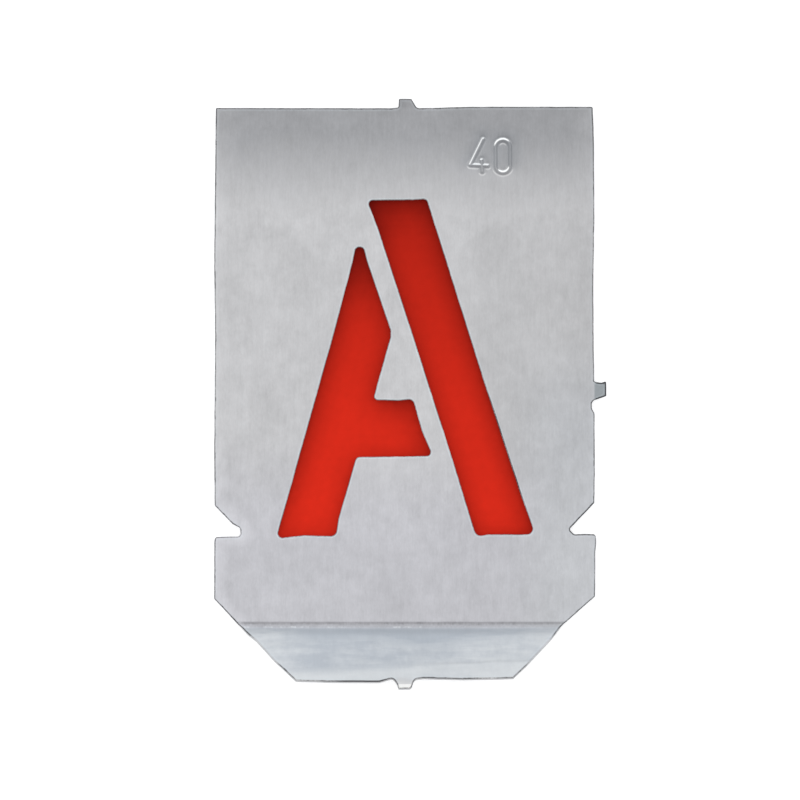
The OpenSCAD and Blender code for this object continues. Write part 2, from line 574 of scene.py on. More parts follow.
def flatBlank(name):
    points, edges, faces = [], [], []
    for loop in loops:
        first = len(points)
        points += loop
        ring = list(range(first, len(points)))
        edges += zip(ring, ring[1:] + ring[:1])
        faces.append(ring if faces else ring[::-1])  # all of them anticlockwise
    points += [Vector(p) for p in blankPoints()]
    coords, triangles = filled(points, edges, faces)
    made = bpy.data.meshes.new(name)
    made.from_pydata([(c.x * mm, c.y * mm, 0) for c in coords], [], triangles)
    for measure in (outerGap, openingGap, strokeGap):
        gaps = made.attributes.new(measure.__name__, "FLOAT", "POINT")
        gaps.data.foreach_set("value", [measure(*c) * mm for c in coords])
    return placed(name, made)


blank = flatBlank("stencil_sheet_blank")
print("blank:", len(blank.data.vertices), "points,", len(blank.data.polygons), "triangles")


# Pressing: thickness, bend, size numerals, crease and small dents, as one node tree

press = {
    "Sheet thickness": plate["sheet"] * mm,
    "Underside height": plateLow.z,
    "Lip angle": math.radians(plate["lipAngle"]),
    "Inside bend radius": plate["bendRadius"] * mm,
    "Bend line": -plate["footMargin"] * mm,
    "Lip fold line": -15.55 * mm,  # a faint second fold, which flattens the lip's end
    "Lip fold tilt": 0.035,
    "Lip fold slope": 0.04,
    "Lip nib line": lipLine * mm,
    "Lip nib slope": 0.3,
    "Side nib line": (halfWidth - 0.1) * mm,
    "Side nib slope": -0.2,
    "Top rise start": 41.5 * mm,
    "Top rise length": 10 * mm,
    "Top rise": 0.32 * mm,
    "Ridge height": 0.17 * mm,
    "Ridge half width": 0.32 * mm,
    "Moat depth": 0.028 * mm,
    "Moat start": 0.8,  # share of the ridge's half width
    "Moat half width": 0.58 * mm,
    "Halo depth": 0.05 * mm,
    "Halo half width": 1.2 * mm,
    "Edge roll depth": 0.03 * mm,
    "Edge roll width": 0.16 * mm,
    "Wave height": 0.02 * mm,
    "Wave length": 9 * mm,
    "Crease line": plate["creaseLine"] * mm,
    "Crease depth": 0.045 * mm,
    "Crease half width": 0.24 * mm,
    "Nick depth": 0.03 * mm,
    "Nick length": 0.55 * mm,
    "Nick width": 0.275 * mm,
    "Nick seed": 3.7,
    "Nick threshold": 0.52,
    "Nick full": 0.72,
}


def closedSheet(board, given):  # the flat blank and a lifted copy, closed by walls
    lift = {"Offset": board.vector(0, 0, 1), "Offset Scale": given["Sheet thickness"], "Individual": False}
    flat = {"Mesh": given["Geometry"]}
    raised = board.node("GeometryNodeExtrudeMesh", {**flat, **lift}, {"mode": "FACES"})
    under = board.node("GeometryNodeFlipFaces", flat)
    both = board.nodes.new("GeometryNodeJoinGeometry")
    for part in (under, raised):
        board.links.new(part.socket, both.inputs[0])
    joined = {"Geometry": Wire(board, both.outputs[0]), "Distance": 1e-7}
    return board.node("GeometryNodeMergeByDistance", joined)


def bentSheet(given, x, y):  # height, and the sine and cosine of the tilt
    outer = given["Inside bend radius"] + given["Sheet thickness"]
    lipAngle = given["Lip angle"]
    bendStart = given["Bend line"] + outer * (lipAngle / 2).maths("TANGENT")
    sine = ((bendStart - y) / outer).least(0).most(lipAngle.maths("SINE"))
    cosine = sine.maths("ARCSINE").maths("COSINE")
    bendEnd = bendStart - outer * lipAngle.maths("SINE")
    foldLine = given["Lip fold line"] + x * given["Lip fold tilt"]
    lipPart = (bendEnd - y).least(0) * lipAngle.maths("TANGENT")
    flatter = (foldLine - y).least(0) * given["Lip fold slope"]
    nibDrop = (given["Lip nib line"] - y).least(0) * given["Lip nib slope"]
    height = outer * (1 - cosine) + lipPart - flatter - nibDrop

    rise = (y - given["Top rise start"]) / given["Top rise length"]
    height = height + given["Top rise"] * rise.least(0) ** 2
    sideDrop = (x - given["Side nib line"]).least(0) * given["Side nib slope"]
    return height - sideDrop, sine, cosine


def stampedRelief(board, given, x, y):
    # raised numerals in a slight hollow
    lines = board.node("GeometryNodeObjectInfo", {"Object": given["Numeral lines"]}, out=4)
    wires = board.node("GeometryNodeCurveToMesh", {"Curve": lines})
    spot = board.vector(x, y, 0)
    away = board.node("GeometryNodeProximity", {0: wires, 2: spot}, {"target_element": "EDGES"}, out=1)
    ridgeReach = given["Ridge half width"]
    ridge = away.fade(0, ridgeReach) * given["Ridge height"]
    moat = away.fade(ridgeReach * given["Moat start"], given["Moat half width"]) * given["Moat depth"]
    halo = away.fade(0, given["Halo half width"]) * given["Halo depth"] + moat

    # slow waves of handled thin sheet
    waves = board.cloud(spot, 1 / given["Wave length"], detail=1.5) - 0.5
    relief = ridge - halo + waves * given["Wave height"] * 2

    # the pressed line along the bend, with nicks from the tool
    fromCrease = (y - given["Crease line"]).maths("ABSOLUTE")
    groove = fromCrease.fade(0, given["Crease half width"])
    along = board.vector(x / given["Nick length"], y / given["Nick width"], given["Nick seed"])
    nicks = board.cloud(along, 1, detail=1).ease(given["Nick threshold"], given["Nick full"])
    return relief - groove * (given["Crease depth"] + nicks * given["Nick depth"])


def pressTree(name):
    tree = bpy.data.node_groups.new(name, "GeometryNodeTree")
    tree.interface.new_socket("Geometry", in_out="OUTPUT", socket_type="NodeSocketGeometry")
    kinds = {"Geometry": "Geometry", "Numeral lines": "Object", "Finish": "Material"}
    for label in (*kinds, *press):
        kind = "NodeSocket" + kinds.get(label, "Float")
        tree.interface.new_socket(label, in_out="INPUT", socket_type=kind)
    board = Board(tree)
    entry = board.nodes.new("NodeGroupInput")
    given = {socket.name: Wire(board, socket) for socket in entry.outputs if socket.name}

    closed = closedSheet(board, given)
    x, y, layer = board.node("GeometryNodeInputPosition").parts()
    height, sine, cosine = bentSheet(given, x, y)
    relief = stampedRelief(board, given, x, y)

    # edges rolled down by the punch, on the upper side only
    kind = "GeometryNodeInputNamedAttribute"
    outer, opening = [board.node(kind, {"Name": name}) for name in ("outerGap", "openingGap")]
    rolled = (1 - (outer.most(opening) / given["Edge roll width"]).most(1)) ** 2
    top = layer / given["Sheet thickness"]
    lift = layer + relief - rolled * given["Edge roll depth"] * top

    place = board.vector(x, y + sine * lift, given["Underside height"] + height + cosine * lift)
    shaped = board.node("GeometryNodeSetPosition", {"Geometry": closed, "Position": place})
    smooth = board.node("GeometryNodeSetShadeSmooth", {"Geometry": shaped})
    real = board.node("GeometryNodeRealizeInstances", {"Geometry": smooth})
    dressed = board.node("GeometryNodeSetMaterial", {"Geometry": real, "Material": given["Finish"]})
    board.node("NodeGroupOutput", {0: dressed})
    return tree


def plainMesh(source, name):  # the evaluated object as a plain mesh
    bpy.context.view_layer.update()
    seen = source.evaluated_get(bpy.context.evaluated_depsgraph_get())
    made = bpy.data.meshes.new_from_object(seen)
    made.name = name
    bpy.data.objects.remove(source)
    return placed(name, made)


def pressed(source, lines, finish, name):
    tree = pressTree("pressedSheet")
    modifier = source.modifiers.new("Press", "NODES")
    modifier.node_group = tree
    sizes = {**press, "Numeral lines": lines, "Finish": finish}
    for item in tree.interface.items_tree:
        if item.in_out == "INPUT" and item.name in sizes:
            modifier[item.identifier] = sizes[item.name]
    out = plainMesh(source, name)
    sharpFrom = 50  # degrees
    out.data.set_sharp_from_angle(angle=math.radians(sharpFrom))
    bpy.data.objects.remove(lines)
    return out


# Rolled zinc: an upright grain on the plate, smoother on the lip, where it is bluer partly by painted
# reflection. In these dictionaries a pair of numbers is where a change starts and ends, mostly in
# millimetres; a third is its strength.

patterns = {  # scales across and upwards, seed, detail, roughness
    "streaks": (3, 0.4, 0, 3, 0.6),
    "fine": (7, 2, 9, 2, 0.5),
    "mottle": (0.75, 0.6, 20, 3, 0.65),
    "broad": (0.2, 0.16, 31, 2, 0.5),
    "smear": (0.16, 0.9, 44, 3, 0.6),
    "dots": (1.6, 0.5, 60, 3, 0.6),
    "ragged": (5, 5, 70, 3, 0.6),
    "drift": (0.35, 0.35, 80, 2, 0.5),
    "dashes": (0.9, 0.9, 90, 3, 0.6),
}

zinc = {
    "lipBelow": (-11.3, -10.9),
    "grainShares": (0.55, 0.45, 0.95, 0.75),  # of streaks, fine, mottle and broad
    # painted shade, used in creases, in the bend and along the openings' edges
    "paintedShade": (0.17, 0.17, 0.18),
    # painted highlight along the burrs of the cut edges
    "burrHighlight": (0.7, 0.78, 0.82),
    "cut": (0.07, 0.07, 0.075),
    "sheared": (0.5, 0.5, 0.51),
    "darkLevel": 0.8,  # of the dark line along every cut edge
    "darkRagged": 2.2,
    "darkDrift": 2.4,
    "wallTilt": (0.45, 0.7),  # upward part of the normal
    "roughness": 0.34,
    "grainRoughness": 0.12,
    "wallRoughness": 0.15,
    "lipPolish": 0.03,
    "wornPolish": 0.14,
    "bumpDepth": 0.012,
    "bumpShares": (0.6, 0.8),  # of fine and mottle, beside the streaks
}


class ZincBoard(Board):  # a board with places, distances and patterns on the sheet
    def __init__(self, nodeTree):
        super().__init__(nodeTree)
        self.x, self.y, self.z = [part / mm for part in self.node("ShaderNodeTexCoord", out=3).parts()]
        self.side = self.x.maths("ABSOLUTE")
        self.normal = self.node("ShaderNodeTexCoord", out=1).parts()
        self.outer, self.opening, self.stroke = map(self.gapTo, ("outer", "opening", "stroke"))
        grains = [self.pattern(name) for name in ("streaks", "fine", "mottle", "broad")]
        self.streaks, self.fine, self.mottle, self.broad = grains
        a, b, c, d = [grain * share for grain, share in zip(grains, zinc["grainShares"])]
        self.grain = a + b + c + d
        self.ragged = self.pattern("ragged")
        self.onLip = self.y.fade(*zinc["lipBelow"])

    def gapTo(self, name):
        return self.node("ShaderNodeAttribute", None, {"attribute_name": name + "Gap"}, out=2) / mm

    def pattern(self, name):  # between -0.5 and 0.5
        across, upwards, seed, detail, roughness = patterns[name]
        spot = self.vector(self.x * across, self.y * upwards, self.z + seed)
        return self.cloud(spot, 1, detail, roughness) - 0.5


def band(value, middle, reach, strength=1):  # falls from the strength at the middle to 0 at the reach
    made = 1 - (value - middle).maths("ABSOLUTE").share(0, reach)
    return made if strength == 1 else made * strength


def ragged(sheet, level, strength):  # an uneven share between 0 and 1
    return (level + sheet.ragged * strength).share(0, 1)


plateLevels = {  # slow changes of brightness
    "grain": 0.34,
    "lipSmoothness": 0.7,  # how much less the grain shows on the lip
    "right": (1, 12, 0.075),
    "rightEdge": (17, 23, 0.045),
    "rightTop": (34, 42, 0.5),
    "footSpared": 0.65,
    "middle": (0, 13, 0.04),
    "middleBelow": (-4, 1),
    "rim": (0.3, 1.9),
    "rimLeft": (-12, 4),
    "rimRight": 0.2,  # what the light rim still has on the right
    "rimLight": 0.05,
    "rimFootLight": 0.11,
    "letterSides": (2, 9, 0.03),
    "letterFoot": (-2, 2),
    "letterTop": (24, 30),
    "topEdge": (50.9, 51.3, 0.08),
}


def plateLevel(sheet, footPart, patinaAndShade):
    x, y, side = sheet.x, sheet.y, sheet.side
    levels = plateLevels
    rightward = (x.ease(*levels["right"]) + x.ease(*levels["rightEdge"])) * (1 - y.ease(*levels["rightTop"]))
    level = 1 - rightward * (1 - footPart * levels["footSpared"])
    level = level - side.fade(*levels["middle"]) * y.fade(*levels["middleBelow"])
    level = level * (1 + sheet.grain * levels["grain"] * (1 - sheet.onLip * levels["lipSmoothness"]))
    rim = sheet.outer.fade(*levels["rim"]) * (1 - sheet.onLip)
    rim = rim * ((1 - x.share(*levels["rimLeft"])) * (1 - levels["rimRight"]) + levels["rimRight"])
    level = level + rim * (levels["rimLight"] + footPart * levels["rimFootLight"]) * (1 - patinaAndShade)
    beside = side.fade(*levels["letterSides"]) * y.ease(*levels["letterFoot"])
    level = level + beside * y.fade(*levels["letterTop"])
    return level * (1 - y.ease(*levels["topEdge"]))


plateTones = {
    "plain": (0.606, 0.607, 0.619),
    "foot": (0.594, 0.594, 0.627),  # below the letter
    "footBelow": (0, 14),
    "bluish": (0.592, 0.604, 0.628),  # towards the lower right edge
    "bluishFrom": (10, 20),
    "bluishBelow": (12, 26),
    "patinaAndShade": (0.402, 0.407, 0.423),  # along the top edge: some patina, mostly painted shade
    "patinaAndShadeAbove": (39, 47.8),
    "patinaAndShadeMottle": 3,
    "patinaAndShadeDrift": 4,
    "patinaAndShadeSides": (19, 22.6, 0.25),  # where it thins out
    # painted shade on the bent side nib, which faces away from the light
    "sideNib": (0.386, 0.418, 0.438),
    "sideNibFrom": (22.55, 22.75),
    "sideNibAbove": (12, 14),
}


def plateTone(sheet):  # the plate's colour, and the brightness that scales it
    x, y = sheet.x, sheet.y
    tones = plateTones
    footPart = y.fade(*tones["footBelow"])
    # painted shade, with some patina, darkens the plate towards its top edge
    patinaAndShade = y + sheet.mottle * tones["patinaAndShadeMottle"] + sheet.broad * tones["patinaAndShadeDrift"]
    patinaAndShade = patinaAndShade.share(*tones["patinaAndShadeAbove"])
    level = plateLevel(sheet, footPart, patinaAndShade)
    colour = sheet.blend(footPart, tones["plain"], tones["foot"])
    lowRight = x.ease(*tones["bluishFrom"]) * y.fade(*tones["bluishBelow"])
    colour = sheet.blend(lowRight, colour, tones["bluish"])
    colour = sheet.blend(patinaAndShade * (1 - sheet.side.ease(*tones["patinaAndShadeSides"])), colour, tones["patinaAndShade"])
    # painted shade on the bent side nib
    nib = x.ease(*tones["sideNibFrom"]) * y.ease(*tones["sideNibAbove"])
    return sheet.blend(nib, colour, tones["sideNib"]), level


lipTones = {
    # the lip's colours: zinc tone, made lighter and bluer in part as painted reflection of the cool light it
    # faces
    "bright": (0.655, 0.662, 0.673),
    "dull": (0.502, 0.522, 0.556),
    "patchSmear": 1.7,
    "patchLevel": 0.4,
    "patchSlope": 0.022,  # more bright patches towards the right
    "patchMottle": 0.7,
    "patchSpread": (0.1, 0.9),
    "leftEnd": (-17, -10, 0.8),
    "rightEnd": (12, 17, 0.8),
    "shade": (0.446, 0.472, 0.512),  # under the bend
    "shadeBulge": (3.2, 6, 0.9),  # reaches further down about here
    "shadeSmear": 4,
    "shadeMottle": 0.8,
    "shadeAbove": (-12.8, -11.3, 0.85),
    "fold": -15.45,
    "foldDrift": 0.5,
    "end": (0.746, 0.751, 0.752),  # painted reflection: lighter beyond the faint fold, where the flattened end faces more light
    "endStart": -0.2,
    "endSpread": 1.0,
    "endSharper": (-8, 6, 0.7),
    "endStrength": 0.85,
    "endWeaker": (-10, 4, 0.3),
    "foldShade": (-15.42, 0.22),
    "foldShadeMottle": 12,
    "foldShadeFrom": (-2, 6, 0.14),
    "nib": (1.0, 0.995, 0.97),  # painted highlight on the bent nib's end
    "nibBelow": (-17.75, -17.6, 0.9),
    "nibSides": (0.7, 0.9),
}


def lipTone(sheet):
    x, y, mottle = sheet.x, sheet.y, sheet.mottle
    tones = lipTones
    smear = sheet.pattern("smear")
    leftEnd = x.fade(*tones["leftEnd"])
    patches = smear * tones["patchSmear"] + tones["patchLevel"] + x * tones["patchSlope"]
    patches = (patches + mottle * tones["patchMottle"] + leftEnd).share(*tones["patchSpread"])
    colour = sheet.blend(patches, tones["dull"], tones["bright"])

    reach = band(x, *tones["shadeBulge"]) - leftEnd - x.ease(*tones["rightEnd"])
    shade = y + smear * tones["shadeSmear"] + mottle * tones["shadeMottle"] + reach
    colour = sheet.blend(shade.ease(*tones["shadeAbove"]), colour, tones["shade"])

    fold = y - x * press["Lip fold tilt"] + sheet.broad * tones["foldDrift"]
    # painted reflection: the flatter end of the lip beyond the fold is lighter
    endSpread = tones["endSpread"] - x.share(*tones["endSharper"])
    beyond = (tones["fold"] - fold).share(tones["endStart"], endSpread)
    beyond = beyond * (tones["endStrength"] - x.share(*tones["endWeaker"]))
    colour = sheet.blend(beyond, colour, tones["end"])
    # painted shade along the faint fold, stronger on the right
    foldShadeSpan = (x + mottle * tones["foldShadeMottle"]).ease(*tones["foldShadeFrom"])
    colour = sheet.blend(band(fold, *tones["foldShade"]) * foldShadeSpan, colour, zinc["paintedShade"])

    # painted highlight on the lip's bent nib
    nib = y.fade(*tones["nibBelow"]) * sheet.side.fade(*tones["nibSides"])
    return sheet.blend(nib, colour, tones["nib"])


bendTones = {
    "pressedDrift": 0.25,
    "pressedReach": 0.33,
    "pressedStrength": 0.44,
    "shadeBelow": (-10.9, -10.7, 0.18),
    "shadeAbove": (-12.1, -11.4),
    "rubbedAndHighlight": (0.88, 0.89, 0.89),
    "rubbedLine": (-10.92, 0.12),
    "rubbedDrift": 0.2,
    "rubbedDots": (-0.02, 0.14),
    "rubbedOnLeft": 0.9,
    "rubbedFading": (-6, 12, 0.65),
    "rubbedStrength": 0.62,
}


def markBend(sheet, colour):  # painted shade along the pressed line and in the bend, and a thin line of rubbed dots below it, painted bright as a highlight
    x, y = sheet.x, sheet.y
    tones = bendTones
    pressedLine = band(y + sheet.broad * tones["pressedDrift"], plate["creaseLine"], tones["pressedReach"])
    colour = sheet.blend(pressedLine * (tones["pressedStrength"] + sheet.streaks), colour, zinc["paintedShade"])
    shade = y.fade(*tones["shadeBelow"]) * y.ease(*tones["shadeAbove"])
    colour = sheet.blend(shade, colour, zinc["paintedShade"])
    # painted highlight: the rubbed dots along the bend
    dots = sheet.pattern("dots").share(*tones["rubbedDots"])
    rubbedAndHighlight = band(y + sheet.mottle * tones["rubbedDrift"], *tones["rubbedLine"]) * dots
    rubbedAndHighlight = rubbedAndHighlight * (tones["rubbedOnLeft"] - x.ease(*tones["rubbedFading"]))
    return sheet.blend(rubbedAndHighlight * tones["rubbedStrength"], colour, tones["rubbedAndHighlight"]), rubbedAndHighlight


numeralTones = {
    # painted shade about the numerals
    "hollowShade": (0.365, 0.38, 0.4),
    "hollowReach": (0.3, 2.2, 0.6),
    "hollowAbove": (42.8, 45),
    # painted highlight colour, for the glint and the crests
    "crest": (0.97, 0.97, 0.96),
    "crestReach": (0.15, 0.4),
    "crestSideways": 0.27,
    "crestTilt": (0.12, 0.36),
    "crestStrength": 0.6,
    "crestOnOval": (9.9, 10.7, 0.3),
    "ringFrom": (0.24, 0.32, 0.36),
    "ringTo": (0.44, 0.58),
    "ringTilt": (0.02, 0.1),
    "ringFootBelow": (44.4, 45.4, 0.4),
}


def markNumerals(sheet, colour):  # painted shade in the hollow about the numerals, and painted highlights where their slopes face the top edge
    x, y, stroke = sheet.x, sheet.y, sheet.stroke
    across, upwards, _ = sheet.normal
    tones = numeralTones
    hollowShade = stroke.fade(*tones["hollowReach"]) * y.ease(*tones["hollowAbove"])
    colour = sheet.blend(hollowShade, colour, tones["hollowShade"])
    # painted highlight: a thin glint beside the strokes where the slope faces the top edge
    ring = stroke.ease(*tones["ringFrom"]) * stroke.fade(*tones["ringTo"])
    footTilt = (0 - upwards).ease(*tones["ringTilt"]) * y.fade(*tones["ringFootBelow"])
    ring = ring * (upwards.ease(*tones["ringTilt"]) + footTilt)
    colour = sheet.blend(ring, colour, tones["crest"])
    # painted highlight on the crests facing the top edge; the crest mask also lowers the roughness
    tilt = (upwards - across * tones["crestSideways"]).ease(*tones["crestTilt"])
    crest = stroke.fade(*tones["crestReach"]) * tilt
    strength = tones["crestStrength"] + x.ease(*tones["crestOnOval"])
    return sheet.blend(crest * strength, colour, tones["crest"]), crest


openingTones = {
    "burrHighlightFrom": (0.07, 0.13),
    "burrHighlightTo": (0.18, 0.3),
    "burrHighlightShare": (0.45, 1.2),
    "lineFrom": 0.035,
    "lineTo": 0.12,
    "lineStrength": 0.95,
    "rightStrokeLean": 0.317,  # of the right stroke, sideways for each mm up
    "darkerEdgeReach": 0.8,
    "darkerEdgeAbove": (2.5, 5),
    "darkerEdgeBelow": (14, 18),
    "darkerEdgeWidth": 0.06,
    "darkerEdgeShare": (0.7, 3),
}


def markOpenings(sheet, colour, dark):  # a dark uneven line of cut edge and painted shade, with a thin painted highlight along the burr beside it
    x, y, opening = sheet.x, sheet.y, sheet.opening
    tones = openingTones
    burrHighlight = opening.share(*tones["burrHighlightFrom"]) * (1 - opening.share(*tones["burrHighlightTo"]))
    colour = sheet.blend(burrHighlight * ragged(sheet, *tones["burrHighlightShare"]), colour, zinc["burrHighlight"])
    # painted shade: a wider dark band along the right stroke's outer edge, where its shaded wall shows
    darkerEdge = band(x + y * tones["rightStrokeLean"], letter["width"] / 2, tones["darkerEdgeReach"])
    darkerEdge = darkerEdge * y.ease(*tones["darkerEdgeAbove"]) * y.fade(*tones["darkerEdgeBelow"])
    wider = darkerEdge * tones["darkerEdgeWidth"]
    line = 1 - opening.share(wider + tones["lineFrom"], wider + tones["lineTo"])
    colour = sheet.blend(line * dark * tones["lineStrength"], colour, zinc["paintedShade"])
    return sheet.blend(line * darkerEdge * ragged(sheet, *tones["darkerEdgeShare"]), colour, zinc["cut"])


heavyPlaces = {  # where the sheared outer edge is darkest
    "lipBelow": (-17.2, -16.8),
    "lipFrom": (-11, -7),
    "lipTo": (-1.5, -0.5),
    "leftBend": (-10, 1.4),
    "leftBendTo": (-19, -17),
    "rightBend": (-10.8, 0.7),
    "rightBendFrom": (17, 18),
    "topRightFrom": (21.5, 22),
    "topRightAbove": (41, 46, 0.7),
    "dashes": (0.04, 0.12, 0.8),
    "notchFrom": (19.2, 19.8, 1.2),
    "notchAbove": (-0.2, 0.1),
    "notchBelow": (3.8, 4.2),
    "notchLevel": 0.75,
    "nibFrom": (22.7, 22.85),
    "nibAbove": (12, 14, 1.1),
}


def heavyEdges(sheet, clean):
    x, y = sheet.x, sheet.y
    at = heavyPlaces
    heavy = y.fade(*at["lipBelow"]) * x.ease(*at["lipFrom"]) * x.fade(*at["lipTo"])
    notch = x.share(*at["notchFrom"]) * y.ease(*at["notchAbove"]) * y.fade(*at["notchBelow"])
    places = [
        band(y, *at["leftBend"]) * (1 - x.share(*at["leftBendTo"])),
        band(y, *at["rightBend"]) * x.share(*at["rightBendFrom"]),
        x.share(*at["topRightFrom"]) * y.ease(*at["topRightAbove"]),
        sheet.pattern("dashes").share(*at["dashes"]) * (1 - clean),
        notch * (at["notchLevel"] + sheet.ragged).share(0, 1),
        x.share(*at["nibFrom"]) * y.ease(*at["nibAbove"]),
    ]
    for place in places:
        heavy = heavy.least(place)
    return heavy


outerTones = {
    "cleanBelow": (-12.4, -11.8),
    "cleanAbove": (-15.6, -14.8),
    "cleanStrength": 0.9,
    "darkStrength": 0.9,
    "lineFrom": 0.06,
    "lineTo": 0.16,
    "heavyWidth": 0.05,
    "burrHighlightFrom": (0.14, 0.2),
    "burrHighlightTo": (0.26, 0.42),
    "burrHighlightShare": (0.16, 0.5),
}


def markOuterEdge(sheet, colour, dark):
    y, outer = sheet.y, sheet.outer
    tones = outerTones
    clean = y.fade(*tones["cleanBelow"]) * y.ease(*tones["cleanAbove"])  # the lip's slanted ends
    heavy = heavyEdges(sheet, clean)
    wider = heavy * tones["heavyWidth"]
    line = 1 - outer.share(wider + tones["lineFrom"], wider + tones["lineTo"])
    strength = (dark * (1 - clean * tones["cleanStrength"]) * tones["darkStrength"]).least(heavy)
    colour = sheet.blend(line * strength, colour, zinc["cut"])
    # painted highlight: a thin pale line along the outer edge's burr
    burrHighlight = outer.share(*tones["burrHighlightFrom"]) * (1 - outer.share(*tones["burrHighlightTo"]))
    return sheet.blend(burrHighlight * ragged(sheet, *tones["burrHighlightShare"]), colour, zinc["burrHighlight"])


def zincSurface(sheet):
    colour, level = plateTone(sheet)
    colour = sheet.blend(sheet.onLip, colour, lipTone(sheet))
    colour, rubbedAndHighlight = markBend(sheet, colour)
    colour, crest = markNumerals(sheet, colour)
    dark = zinc["darkLevel"] + sheet.ragged * zinc["darkRagged"] + sheet.pattern("drift") * zinc["darkDrift"]
    dark = dark.share(0, 1)
    colour = markOpenings(sheet, colour, dark)
    colour = markOuterEdge(sheet, colour, dark)
    wall = 1 - sheet.normal[2].maths("ABSOLUTE").share(*zinc["wallTilt"])
    colour = sheet.blend(wall, colour, zinc["sheared"])
    colour = sheet.node("ShaderNodeVectorMath", {0: colour, "Scale": level}, {"operation": "SCALE"})

    fineShare, mottleShare = zinc["bumpShares"]
    height = sheet.streaks + sheet.fine * fineShare + sheet.mottle * mottleShare
    depth = zinc["bumpDepth"] * mm
    bump = sheet.node("ShaderNodeBump", {"Strength": 0.25, "Distance": depth, "Height": height})
    roughness = zinc["roughness"] + sheet.grain * (1 - sheet.onLip) * zinc["grainRoughness"]
    roughness = roughness + wall * zinc["wallRoughness"] - sheet.onLip * zinc["lipPolish"]
    roughness = roughness - rubbedAndHighlight.least(crest) * zinc["wornPolish"]
    look = {"Base Color": colour, "Metallic": 1.0, "Roughness": roughness, "Normal": bump}
    return sheet.node("ShaderNodeBsdfPrincipled", look)


numeralLines = strokeObject("numeral_lines", numeralStrokes())
zincFinish = material("rolledZinc", zincSurface, ZincBoard)
sheetPiece = pressed(blank, numeralLines, zincFinish, "stamped_zinc_plate")
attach(sheetPiece, "root")
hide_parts("stencil_plate")
print("plate:", len(sheetPiece.data.polygons), "faces")


# The red card

card = {
    "step": 0.45,
    "cornerRadius": 1,
    "shadeSpread": (0.9, 1.65, 2.4, 3.6),  # rings of samples, mm from a point
    "shadeLean": (0.004, 0.01),  # more shade under the edges away from this point
    "shadeFrom": (0, -58),
    "spokes": 12,
    "thinning": 3,  # every third point of an opening counts
    "edgeSampling": 0.05,
    "edgeClear": 0.7,  # inner points keep this share of a step from the edge
}

cardTones = {
    "bright": (0.895, 0.031, 0.013),
    "dim": (0.07, 0.0022, 0.0018),
    "shadeDepth": 0.72,
    "fade": 0.28,  # more shade towards the letter's top and right
    "fadeOffset": 10.8,
    "fadeLength": 40,
    "fadeSideways": 0.25,
    "footBelow": (1, 10, 0.3),  # how much of that shade the left foot is spared
    "footLeft": (-6, 4),
    "pointAbove": (27, 32, 0.2),  # more shade in the left leg's point
    "pointLeft": (-4.5, -3),
    "cornerAbove": (33.5, 37, 0.24),  # and in the right stroke's upper left corner
    "cornerLeft": (8.6, 12.6),  # on the foot line; it leans with the stroke
    "fluffScale": 900,
    "fluff": 0.14,
    "slowScale": 160,
    "slow": 0.1,
    "bumpHeight": 0.03,
}


def insideLoop(points, loop):
    x, y = points[:, 0:1], points[:, 1:2]
    ax, ay = np.array([p[:] for p in loop]).T
    bx, by = np.roll(ax, -1), np.roll(ay, -1)
    crosses = (ay > y) != (by > y)
    with np.errstate(divide="ignore", invalid="ignore"):
        at = ax + (y - ay) * (bx - ax) / (by - ay)
    return (crosses & (x < at)).sum(1) % 2 == 1


def skyShares(points):  # how much open sky each point of the card sees through the letter
    flat = np.array(points)[:, :2] / mm
    flat = flat + (flat - card["shadeFrom"]) * card["shadeLean"]
    openings = [loop[:: card["thinning"]] for loop in loops[1:]]
    spokes, rings = card["spokes"], card["shadeSpread"]
    total = np.zeros(len(flat))
    for k, reach in enumerate(rings):
        for i in range(spokes):
            angle = 2 * math.pi * (i + k / len(rings)) / spokes
            moved = flat + (reach * math.cos(angle), reach * math.sin(angle))
            total += sum(insideLoop(moved, loop).astype(float) for loop in openings)
    return total / (spokes * len(rings))


def cardMesh(name):
    low, high = cardLow / mm, cardHigh / mm
    step = card["step"]
    places = [(low.x, low.y), (high.x, low.y), (high.x, high.y), (low.x, high.y)]
    edge = tracedLoop([(*place, card["cornerRadius"]) for place in places], step)
    tree = nearness(denser(edge, card["edgeSampling"]))
    clear = step * card["edgeClear"]
    spots = evenPoints(low.x, high.x, low.y, high.y, step)
    inner = [Vector(spot) for spot in spots if tree.find((*spot, 0))[2] > clear]
    count = len(edge)
    sides = [(i, (i + 1) % count) for i in range(count)]
    coords, triangles = filled(edge + inner, sides, [list(range(count))])
    top, bottom = [[(c.x * mm, c.y * mm, z) for c in coords] for z in (cardHigh.z, cardLow.z)]
    n = len(coords)
    under = [[i + n for i in reversed(tri)] for tri in triangles]
    walls = [[after, i, i + n, after + n] for i, after in sides]
    made = bpy.data.meshes.new(name)
    made.from_pydata(top + bottom, [], triangles + under + walls)
    sky = made.attributes.new("openSky", "FLOAT", "POINT")
    sky.data.foreach_set("value", list(skyShares(top + bottom)))
    return placed(name, made)


